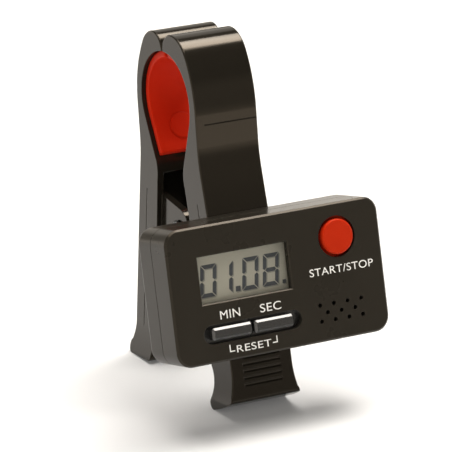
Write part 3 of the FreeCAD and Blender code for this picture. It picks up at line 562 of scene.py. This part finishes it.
# ---- display digits: seven slanted bars each, with mitred ends and a hair's gap between them
digits = {"top": 7.78, "tall": 8.85, "slant": 7.7, "wide": 4.95, "stroke": 1.12, "gap": 0.14, "plane": 2.638,
          "shown": ((-21.83, "0"), (-16.75, "1"), (-8.88, "0"), (-2.52, "8")),
          "dots": ((-11.25, -0.2, 1.45), (3.0, -0.55, 1.05)), "dotLean": 0.1,
          "thick": 0.003, "shadowShift": (0.30, -0.32), "shadowBehind": 0.006}
barsOn = {"0": "abcdef", "1": "bc", "8": "abcdefg"}


def digitBars(left, bars):
    d = digits
    w, h, t, g = d["wide"], d["tall"], d["stroke"], d["gap"]
    mid = h / 2
    inset, tip = t * 0.45, g * 0.9
    above, below = mid + t * 0.3 + g, mid - t * 0.3 - g
    innerAbove, innerBelow = mid + t * 0.42 + g, mid - t * 0.42 - g
    shapes = {    # x from the digit's left edge and z from its foot
        "a": [(g, h), (w - g, h), (w - t - g, h - t), (t + g, h - t)],
        "d": [(g, 0), (t + g, t), (w - t - g, t), (w - g, 0)],
        "f": [(0, h - g), (t, h - t - g), (t, innerAbove), (inset, mid + tip), (0, above)],
        "b": [(w, h - g), (w, above), (w - inset, mid + tip), (w - t, innerAbove), (w - t, h - t - g)],
        "e": [(0, g), (0, below), (inset, mid - tip), (t, innerBelow), (t, t + g)],
        "c": [(w, g), (w - t, t + g), (w - t, innerBelow), (w - inset, mid - tip), (w, below)],
        "g": [(t * 0.6 + g, mid), (t + g, mid + t / 2), (w - t - g, mid + t / 2), (w - t * 0.6 - g, mid),
              (w - t - g, mid - t / 2), (t + g, mid - t / 2)],
    }
    lean = math.tan(math.radians(d["slant"]))
    foot = d["top"] - h
    return [[(left + x + (z - h) * lean, foot + z) for x, z in shapes[bar]] for bar in bars]


def dotShape(x, z, size):
    half, lean = size / 2, digits["dotLean"]
    return [(x - half, z - half), (x + half, z - half), (x + half + lean, z + half), (x - half + lean, z + half)]


def makeDigits():
    outlines = []
    for left, figure in digits["shown"]:
        outlines += digitBars(left, barsOn[figure])
    outlines += [dotShape(*dot) for dot in digits["dots"]]
    plane, thick = digits["plane"], digits["thick"]
    points, faces = slabs(outlines, plane, plane + thick)
    addPiece("display_digits", points, faces, rootBody, "segment_ink", caseFrame, smooth=False)
    # painted shadow: copies of the bars, shifted and set just behind them, stand for the bars' shadow on the display
    right, up = digits["shadowShift"]
    moved = [[(x + right, z + up) for x, z in outline] for outline in outlines]
    behind = plane + digits["shadowBehind"]
    points, faces = slabs(moved, behind, behind + thick)
    addPiece("display_shadows", points, faces, rootBody, "segment_shadow", caseFrame, smooth=False)


makeDigits()
print("display digits made")


# ---- printed legends on the case's face: name, words, centre in x and z, width and height
legends = (("legend_minutes", "MIN", -15.87, -6.1, 6.1, 2.3), ("legend_seconds", "SEC", -3.4, -6.3, 6.5, 2.3),
           ("legend_reset", "RESET", -9.75, -16.0, 10.7, 1.95), ("legend_start", "START/STOP", 19.7, 0.55, 20.0, 2.1))
inkLayer = {"extrude": 0.01, "spacing": 1.06, "back": -0.006, "thick": 0.022}
brackets = {"thick": 0.30, "front": -0.017, "back": 0.004,    # edge, arm's end, foot and head of each
            "places": ((-17.25, -15.7, -16.5, -14.5), (-2.45, -4.0, -16.3, -14.4))}


def makeLegend(name, words, x, z, wide, tall):
    curve = bpy.data.curves.new(name, "FONT")
    curve.body = words
    curve.extrude = inkLayer["extrude"]
    curve.space_character = inkLayer["spacing"]
    holder = bpy.data.objects.new(name + "_text", curve)
    bpy.context.scene.collection.objects.link(holder)
    bpy.context.view_layer.update()
    mesh = bpy.data.meshes.new_from_object(holder)
    bpy.data.objects.remove(holder)
    raw = np.empty(len(mesh.vertices) * 3)
    mesh.vertices.foreach_get("co", raw)
    raw = raw.reshape(-1, 3)
    low, high = raw.min(0), raw.max(0)
    flat = (raw - (low + high) / 2) / (high - low)
    depth = inkLayer["back"] - flat[:, 2] * inkLayer["thick"]
    placed = np.stack([x + flat[:, 0] * wide, depth, z + flat[:, 1] * tall], 1) * mm
    mesh.vertices.foreach_set("co", placed.ravel())
    mesh.transform(caseFrame)
    mesh.update()
    mesh.materials.clear()
    mesh.materials.append(finishes["printed_ink"])
    item = bpy.data.objects.new(name, mesh)
    bpy.context.scene.collection.objects.link(item)
    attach(item, rootBody)


def makeBrackets():
    corners = []
    for edge, end, foot, head in brackets["places"]:
        thick = brackets["thick"]
        inner = edge + math.copysign(thick, end - edge)
        corners.append([(edge, head), (edge, foot), (end, foot), (end, foot + thick),
                        (inner, foot + thick), (inner, head)])
    points, faces = slabs(corners, brackets["front"], brackets["back"])
    addPiece("legend_brackets", points, faces, rootBody, "printed_ink", caseFrame, smooth=False)


for legend in legends:
    makeLegend(*legend)
makeBrackets()
print("legends made")


# ---- painted shade behind the sounder's holes: a near-black shallow dome of rings and spokes
holeShadeSheet = {"x": 18.3, "z": -9.47, "radius": 6.7, "depth": 2.14, "crown": 0.1, "thick": 0.08}


def makeSoundHoleShade():
    c = holeShadeSheet
    r = np.linspace(0.02, 1, 24)
    turn = np.linspace(0, 2 * np.pi, 72, endpoint=False)
    rings = []
    for way, base in ((1, c["depth"]), (-1, c["depth"] + c["thick"])):
        sheet = np.empty((len(r), len(turn), 3))
        sheet[..., 0] = c["x"] + c["radius"] * r[:, None] * np.cos(turn)
        sheet[..., 2] = c["z"] + c["radius"] * r[:, None] * np.sin(turn)
        sheet[..., 1] = base - c["crown"] * (1 - r[:, None] ** 2)
        rings.append(sheet[::way])
    points = np.concatenate(rings)
    count = len(turn)
    faces = list(gridFaces(len(points), count))
    last = (len(points) - 1) * count
    faces += [list(range(count)), [last + k for k in range(count)][::-1]]
    addPiece("sound_hole_shade", points.reshape(-1, 3) * mm, faces, rootBody, "sound_hole_shade", caseFrame)


# ---- moulded arrow on the cell's door, raised a little
doorArrow = {"front": 16.34, "back": 16.52, "outline": ((25.6, -3.2), (28.9, 0.0), (25.6, 3.2), (25.6, 1.2),
                                                        (22.0, 1.2), (22.0, -1.2), (25.6, -1.2))}


def makeDoorArrow():
    points, faces = slabs([doorArrow["outline"]], doorArrow["front"], doorArrow["back"])
    body = "battery_door_body"
    addPiece("door_arrow", points, faces, body, "case_plastic", caseFrame, smooth=False)


makeSoundHoleShade()
makeDoorArrow()
print("sound cloth and door arrow made")


# ---- floor, light and surroundings
studio = {
    "floorHalf": 6.0, "paper": ((0.70, 0.72, 0.75), (0.72, 0.74, 0.77)),
    "glowNear": (0.07, 0.07, 0.07), "glowFar": (1.50, 1.35, 1.15), "glowFrom": 0.28, "glowTo": 0.70,
    "lampColor": (1.0, 0.94, 0.86), "aim": (0, 0, 0.05),
    # name, place in metres, width in metres and watts
    "lamps": (("overhead", (0.02, 0.02, 0.95), 0.95, 13.0), ("gleam", (0.44, 0.10, 0.88), 0.46, 6.0),
              ("left", (-0.85, -0.75, 0.55), 1.10, 3.0), ("right", (1.3, -0.9, 0.5), 0.50, 2.5),
              ("rear", (0.2, 1.2, 0.85), 1.3, 3.5)),
    "wallColor": (1.0, 0.92, 0.80, 1.0), "wallEdge": (0.30, 0.46), "wallLow": 0.38, "wallHigh": 0.05,
    "backdrop": 1.4,
}


def makeFloor():
    made = Finish("floor_paper")
    cloud = made.noise(9.0, 3.0)
    away = Num(made, made.node("ShaderNodeVectorMath", {"operation": "LENGTH"}, [made.place]).outputs["Value"])
    far = away.step(studio["glowFrom"], studio["glowTo"])
    # painted light: the table glows faintly near the piece, which lifts the shadows there, and strongly away from it
    glow = made.blend(far, studio["glowNear"], studio["glowFar"])    # the table gives off light away from the piece
    made.shade(made.blend(cloud, *studio["paper"]), (0.75 + cloud * 0.1).clamp(), None,
               Emission_Color=glow, Emission_Strength=1.0)
    size = studio["floorHalf"]
    floor = bpy.data.objects.new("floor", bpy.data.meshes.new("floor"))
    corners = [(-size, -size, 0), (size, -size, 0), (size, size, 0), (-size, size, 0)]
    floor.data.from_pydata(corners, [], [(0, 1, 2, 3)])
    floor.data.materials.append(made.material)
    bpy.context.scene.collection.objects.link(floor)


def makeLamps():
    for name, spot, wide, power in studio["lamps"]:
        data = bpy.data.lights.new(name, "AREA")
        data.shape = "DISK"
        data.size = wide
        data.energy = power
        data.color = studio["lampColor"]
        lamp = bpy.data.objects.new(name, data)
        bpy.context.scene.collection.objects.link(lamp)
        lamp.location = spot
        lamp.rotation_euler = (Vector(studio["aim"]) - Vector(spot)).to_track_quat("-Z", "Y").to_euler()


def makeSurroundings():
    world = bpy.data.worlds.new("studio")
    bpy.context.scene.world = world
    world.use_nodes = True
    tree = world.node_tree
    sky = tree.nodes["Background"]
    path = tree.nodes.new("ShaderNodeLightPath")
    place = tree.nodes.new("ShaderNodeTexCoord")
    split = tree.nodes.new("ShaderNodeSeparateXYZ")
    level = tree.nodes.new("ShaderNodeMapRange")    # a pale wall low down and a dark room above it
    level.interpolation_type = "SMOOTHSTEP"
    level.inputs["From Min"].default_value, level.inputs["From Max"].default_value = studio["wallEdge"]
    level.inputs["To Min"].default_value = studio["wallLow"]
    level.inputs["To Max"].default_value = studio["wallHigh"]
    seen = tree.nodes.new("ShaderNodeMix")    # the backdrop is white where it is seen directly
    seen.inputs["B"].default_value = studio["backdrop"]
    sky.inputs["Color"].default_value = studio["wallColor"]
    tree.links.new(place.outputs["Generated"], split.inputs[0])
    tree.links.new(split.outputs["Z"], level.inputs["Value"])
    tree.links.new(path.outputs["Is Camera Ray"], seen.inputs["Factor"])
    tree.links.new(level.outputs["Result"], seen.inputs["A"])
    tree.links.new(seen.outputs["Result"], sky.inputs["Strength"])


makeFloor()
makeLamps()
makeSurroundings()
bpy.context.scene.view_settings.view_transform = "Standard"
print("studio set")
